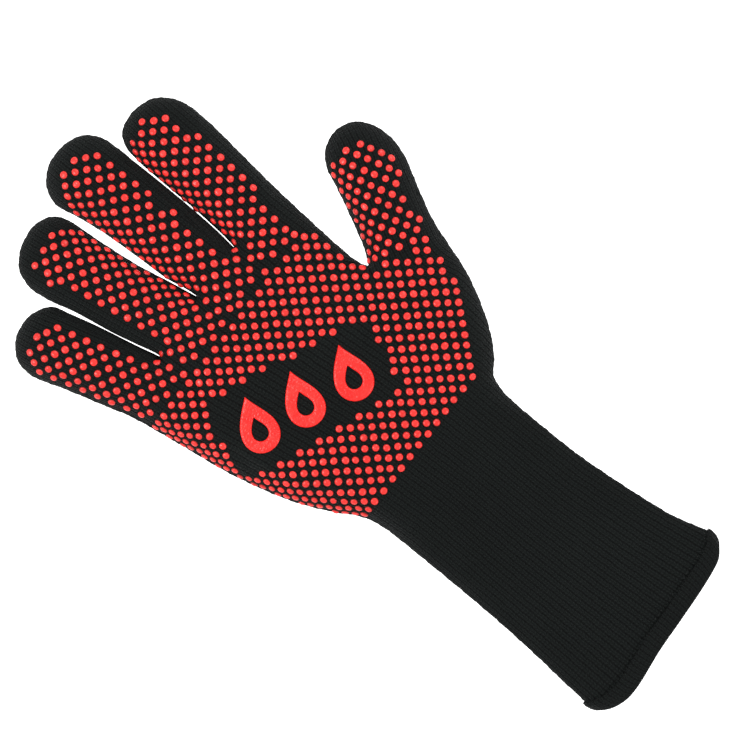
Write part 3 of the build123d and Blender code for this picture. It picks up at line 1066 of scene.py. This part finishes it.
def dot_faces():
    """The faces of one dot: rings up to its crown, and a fan round its peak."""
    k, rings = DOT_SEGMENTS, len(DOT_PROFILE)
    last, peak = (rings - 1) * k, rings * k
    crown = [(last + i, last + (i + 1) % k, peak) for i in range(k)]
    return np.array(grid_faces(rings, k, wrapped=False) + crown)


def part_of(p):
    """The finger and stretch that a dot belongs to."""
    number = finger_zone(p[None])[0]
    if number < 0:
        return None, None
    name = list(FINGERS)[number]
    f = FINGERS[name]
    s = (p - f["root"]) @ f["along"] if name == "thumb" else p[1]
    return name, "knuckle" if s < f["cut"] else "joint"


one_dot = dot_faces()
rim_painted_shade = np.repeat((*DOT_RIM_PAINTED_SHADE, 1.0), [DOT_SEGMENTS] * len(DOT_PROFILE) + [1])
groups = {}
for seat in seats.rows:
    groups.setdefault(part_of(seat[:2]), []).append(dot_at(seat))
for (finger_name, where), dots in groups.items():
    stretch = {"knuckle": "base", "joint": "tip", None: None}[where]
    name = "palm_grip_dots" if finger_name is None else f"{finger_name}_{stretch}_grip_dots"
    faces = np.vstack([one_dot + k * len(dots[0]) for k in range(len(dots))])
    # Each dot has its own depth of colour, and is darker towards its rim: painted shade on the
    # dome's sloping sides, and partly the thin silicone over the black knit.
    shades = np.concatenate([rim_painted_shade * rng.uniform(0.62, 1.0) for _ in dots])
    piece = make_piece(name, np.vstack(dots), faces, DOTS, shades=shades)
    if finger_name is None:
        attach(piece, "palm")
        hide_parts("palm_dots")
    else:
        bend(piece, finger_name, where)
        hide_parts(f"{finger_name}_{stretch}_dots")

# ---- Emblem: three flame drops -----------------------------------------------------

FLAME_CENTRES = [np.array(c) + WRIST for c in ((-41, 70), (-19, 61), (4, 51))]
FLAME_RADIUS, FLAME_TALL, FLAME_LEAN, FLAME_HOLE = 9.0, 27.4, 2.0, 0.42
FLAME_RISE = 1.05


def bezier(a, b, c, d, parts):
    """A cubic curve from a to d, without its last point."""
    t = np.linspace(0, 1, parts, endpoint=False)[:, None]
    a, b, c, d = (np.array(p, float) for p in (a, b, c, d))
    return a * (1 - t) ** 3 + 3 * b * t * (1 - t) ** 2 + 3 * c * t * t * (1 - t) + d * t ** 3


def flame_outline():
    """The drop's outline: a round base and two sides that meet in a leaning peak."""
    r, low, peak = FLAME_RADIUS, FLAME_RADIUS - FLAME_TALL / 2, (FLAME_LEAN, FLAME_TALL / 2)
    angles = np.linspace(math.pi, 2 * math.pi, 28, endpoint=False)
    base = np.column_stack((np.cos(angles) * r, np.sin(angles) * r + low))
    right = bezier((r, low), (r, low + 7), (peak[0] + 2.2, peak[1] - 7), peak, 26)
    left = bezier(peak, (peak[0] - 3, peak[1] - 4), (-r, low + 8), (-r, low), 26)
    return np.vstack((base, right, left))


def flame_mesh():
    """Plan points, faces and rise of one flame drop, with rounded edges."""
    outer = resample(close_loop(flame_outline()), 0.6)[:-1]
    hole = outer * FLAME_HOLE + (0, (FLAME_RADIUS - FLAME_TALL / 2) / 2)
    loops = [outer, resample(close_loop(hole), 0.6)[:-1]]
    lines = [close_loop(loop) for loop in loops]
    grid = np.stack(np.meshgrid(np.arange(-9.6, 9.6, 0.55), np.arange(-14.5, 14.5, 0.55)), -1)
    grid = grid.reshape(-1, 2) + rng.uniform(-0.05, 0.05, (grid.size // 2, 2))

    def edge_gap(p):
        return np.minimum(*(distance_to(line, p)[0] for line in lines))

    rims = []
    for loop, side in ((loops[0], -1), (loops[1], 1)):
        for gap in (0.12, 0.35, 0.75):
            ring = loop + inward(loop) * side * gap
            rims.append(ring[edge_gap(ring) > gap * 0.9])
    edges = []
    for loop in loops:
        start, k = len(edges), len(loop)
        edges += [(start + i, start + (i + 1) % k) for i in range(k)]
    p, faces = triangulate((*loops, *rims, grid[edge_gap(grid) > 1.05]), edges)
    faces = upward(p, faces[enclosed(p[faces].mean(axis=1), loops)])
    gap = np.minimum(edge_gap(p) / 0.9, 1)
    return p, faces, FLAME_RISE * np.sqrt(1 - (1 - gap) ** 2) - 0.12


flame_plan, flame_faces, flame_rise = flame_mesh()
flame_points, all_faces = [], []
for k, centre in enumerate(FLAME_CENTRES):
    plan = flame_plan @ PANEL_TURN.T + centre
    heights = np.array([top_at(*p)[0] for p in plan])
    flame_points.append(np.column_stack((plan, heights + flame_rise)))
    all_faces.append(flame_faces + k * len(flame_plan))
emblem = make_piece("flame_emblem", np.vstack(flame_points), np.vstack(all_faces), EMBLEM)
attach(emblem, "palm")
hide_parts("palm_emblem")

# ---- Hem and its stitching ---------------------------------------------------------

RING_POINTS, RING_REACH = 280, 6
RING_ANGLES = np.linspace(0, 2 * math.pi, RING_POINTS, endpoint=False)
FOLD_PROUD, FOLD_WIDTH = 0.4, 0.4   # how far the hem stands out at its side folds
SKIN_END = 7.5          # the knit is sampled no nearer to the rim than this
RIM_TAPER, TAPER_END = 2.4, 6.5     # the side folds draw in towards the rim
# Across the folded band: distance from the rim and height over the knit's outer face.
HEM_PROFILE = [
    (8.25, -0.15), (8.1, 0.4), (7.6, 0.7), (6.2, 0.82), (4.6, 0.74), (3.0, 0.8), (1.5, 0.82),
    (0.6, 0.62), (0.0, 0.2), (-0.3, -0.45), (-0.15, -1.2), (0.5, -1.8), (1.5, -2.05),
    (3.5, -2.1), (6.5, -2.1), (8.1, -1.8),
]
rim_line = smooth_curve(RIM) + WRIST
rim_share = (rim_line[:, 0] - rim_line[0, 0]) / (rim_line[-1, 0] - rim_line[0, 0])


def side_at(y, left):
    """The glove's left or right edge at y, by closing in on it from the middle."""
    middle, _ = fan_at(np.array([y]))
    inner, outer = middle[0], middle[0] + (-62 if left else 62)
    for _ in range(22):
        x = (inner + outer) / 2
        if top_at(x, y)[0] is None:
            outer = x
        else:
            inner = x
    return inner


def hem_ring(shift):
    """A closed ring round the cuff's fabric, shift from its rim, with outward normals."""
    sampled = max(shift, SKIN_END)
    left = side_at(rim_line[0, 1] + sampled, True)
    right = side_at(rim_line[-1, 1] + sampled, False)
    taper = RIM_TAPER * max(0, 1 - shift / TAPER_END) ** 2
    squeeze = 1 - 2 * taper / (right - left)
    ring = []
    for angle in RING_ANGLES:
        share = (1 - math.cos(angle)) / 2
        x = left + (right - left) * share
        rim = np.interp(share, rim_share, rim_line[:, 1])
        tree, origin, way = (
            (UPPER, ABOVE, DOWN) if angle <= math.pi else (LOWER, -ABOVE, -DOWN)
        )
        clear = min(max(x, left + 0.05), right - 0.05)
        hit = tree.ray_cast(Vector((clear, rim + sampled, origin)), way)[0]
        if hit is None:
            hit = SKIN.find_nearest(Vector((x, rim + sampled, CUFF_SIDE)))[0]
        x = (x - (left + right) / 2) * squeeze + (left + right) / 2
        ring.append((x, rim + shift, hit.z))
    ring = np.array(ring)
    # Even out the sampled heights round the side folds.
    for _ in range(3):
        ring[:, 2] = (np.roll(ring[:, 2], 1) + 2 * ring[:, 2] + np.roll(ring[:, 2], -1)) / 4
    # Over a few points, because they crowd together at the side folds.
    return ring, unit_rows(np.cross(np.array((0, 1, 0)), ring_ways(ring, RING_REACH)))


rings = {shift: hem_ring(shift) for shift in dict(HEM_PROFILE)}
# The hem stands less proud at the side folds.
proud = smoothstep(np.abs(np.sin(RING_ANGLES)) / FOLD_WIDTH)
proud = FOLD_PROUD + (1 - FOLD_PROUD) * proud
hem_points = []
for shift, rise in HEM_PROFILE:
    ring, out = rings[shift]
    share = proud if rise > 0 else FOLD_PROUD + (1 - FOLD_PROUD) * proud
    hem_points.append(ring + out * (rise * share)[:, None])
hem_points = np.vstack(hem_points)
hem_faces = grid_faces(len(HEM_PROFILE), RING_POINTS, flipped=True)
length = np.r_[0, np.cumsum(np.linalg.norm(np.diff(HEM_PROFILE, axis=0), axis=1))]
around = rings[3.0][0]
girth = np.r_[0, np.cumsum(np.linalg.norm(np.roll(around, -1, axis=0) - around, axis=1))]
hem_knit = np.column_stack((
    np.tile(girth[:-1] / WALE, len(HEM_PROFILE)), np.repeat(-length / COURSE, RING_POINTS),
    np.zeros(len(hem_points)),
))
hem_points[:, 2] = np.maximum(hem_points[:, 2], 0.05)
hem = make_piece("turned_hem", hem_points, hem_faces, HEM, knit=hem_knit)
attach(hem, "cuff")
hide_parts("cuff_hem")

# The overlock thread zigzags over the seam between the hem and the cuff.
STITCH_PITCH, THREAD_RADIUS, THREAD_SIDES, STITCH_STEPS = 2.3, 0.33, 6, 8
# The thread's height over the fabric, by its distance from the rim.
SEAM = {6.4: 1.15, 7.4: 1.0, 8.4: 0.55, 9.8: 0.2}
seam = {shift: hem_ring(shift) for shift in SEAM}
stitches = round(girth[-1] / STITCH_PITCH)
shifts = sorted(SEAM)
path = []
for step in range(stitches * STITCH_STEPS):
    phase = step / STITCH_STEPS
    zigzag = abs((phase % 1) * 2 - 1)
    shift = shifts[0] + (shifts[-1] - shifts[0]) * smoothstep(zigzag)
    index = np.interp(phase / stitches * girth[-1], girth, np.arange(len(girth)))
    before = int(index) % RING_POINTS
    after, part = (before + 1) % RING_POINTS, index - int(index)
    lie = 0.35 + 0.65 * proud[before]
    corners = []
    for level in shifts:
        ring, out = seam[level]
        point = ring[before] * (1 - part) + ring[after] * part
        normal = out[before] * (1 - part) + out[after] * part
        corners.append(point + normal * SEAM[level] * lie)
    corners = np.array(corners)
    path.append([np.interp(shift, shifts, corners[:, axis]) for axis in range(3)])
path = np.array(path)
way = unit_rows(ring_ways(path))
spoke = path - path.mean(axis=0) * (1, 0, 1)
spoke[:, 1] = 0
spoke = unit_rows(spoke - (spoke * way).sum(axis=1)[:, None] * way)
other = np.cross(way, spoke)
angles = np.arange(THREAD_SIDES) * 2 * math.pi / THREAD_SIDES
thread_points = np.concatenate([
    path + THREAD_RADIUS * (spoke * math.cos(a) + other * math.sin(a)) for a in angles
])
thread_faces = grid_faces(THREAD_SIDES, len(path))
thread_points[:, 2] = np.maximum(thread_points[:, 2], 0.03)
thread = make_piece("overlock_thread", thread_points, thread_faces, THREAD)
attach(thread, "cuff")
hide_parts("hem_stitching")

# ---- Stage, light and camera -------------------------------------------------------


def stage_floor():
    """A bright table, low enough for the hand to bend back over it without touching."""
    mesh = bpy.data.meshes.new("floor")
    size, low = 6.0, -0.23
    corners = [(-size, -size, low), (size, -size, low), (size, size, low), (-size, size, low)]
    mesh.from_pydata(corners, [], [(0, 1, 2, 3)])
    floor = add_object("floor", mesh)
    paper = Nodes("pale_paper")
    paper.set(Base_Color=(0.9, 0.9, 0.9, 1), Roughness=0.9, Specular_IOR_Level=0.1,
              Emission_Color=(1, 1, 1, 1), Emission_Strength=0.4)
    mesh.materials.append(paper.material)


def lamp(name, place, size, power):
    """A round area light that faces the glove."""
    data = bpy.data.lights.new(name, "AREA")
    data.shape, data.size, data.energy = "DISK", size, power
    holder = add_object(name, data)
    holder.location = place
    holder.rotation_mode = "QUATERNION"
    holder.rotation_quaternion = (-Vector(place)).to_track_quat("-Z", "Y")


stage_floor()
lamp("key", (-1.0, 0.75, 1.3), 0.45, 28)
lamp("fill", (1.15, 0.35, 1.2), 0.9, 18)
lamp("rim", (0.1, -1.35, 1.1), 0.7, 13)

# The studio is bright at the horizon and dimmer overhead.
world = bpy.data.worlds.new("studio")
world.use_nodes = True
sky = world.node_tree
direction = sky.nodes.new("ShaderNodeTexCoord").outputs["Generated"]
upward_part = sky.nodes.new("ShaderNodeSeparateXYZ")
sky.links.new(direction, upward_part.inputs[0])
fade = sky.nodes.new("ShaderNodeValToRGB")
for element, (place, level) in zip(fade.color_ramp.elements, ((0.1, 0.97), (0.75, 0.3))):
    element.position, element.color = place, (level, level, level, 1)
sky.links.new(upward_part.outputs["Z"], fade.inputs["Fac"])
sky.links.new(fade.outputs["Color"], sky.nodes["Background"].inputs["Color"])
bpy.context.scene.world = world
bpy.context.scene.view_settings.view_transform = "Standard"

# The camera looks straight down, turned so that the fingers point up and to the left.
VIEW_CENTRE, VIEW_WIDTH, DISTANCE = (3.3, 2.2, 8.0), 343.5, 1300.0
RIGHT, UP = Vector((0.616, -0.788, 0)).normalized(), Vector((0.788, 0.616, 0)).normalized()
camera_data = bpy.data.cameras.new("camera")
camera_data.sensor_width = 36.0
camera_data.lens = camera_data.sensor_width * DISTANCE / VIEW_WIDTH
camera = add_object("camera", camera_data)
turned = Matrix((RIGHT, UP, Vector((0, 0, 1)))).transposed().to_4x4()
place = Vector((VIEW_CENTRE[0], VIEW_CENTRE[1], VIEW_CENTRE[2] + DISTANCE)) * MM
camera.matrix_world = Matrix.Translation(place) @ turned
bpy.context.scene.camera = camera
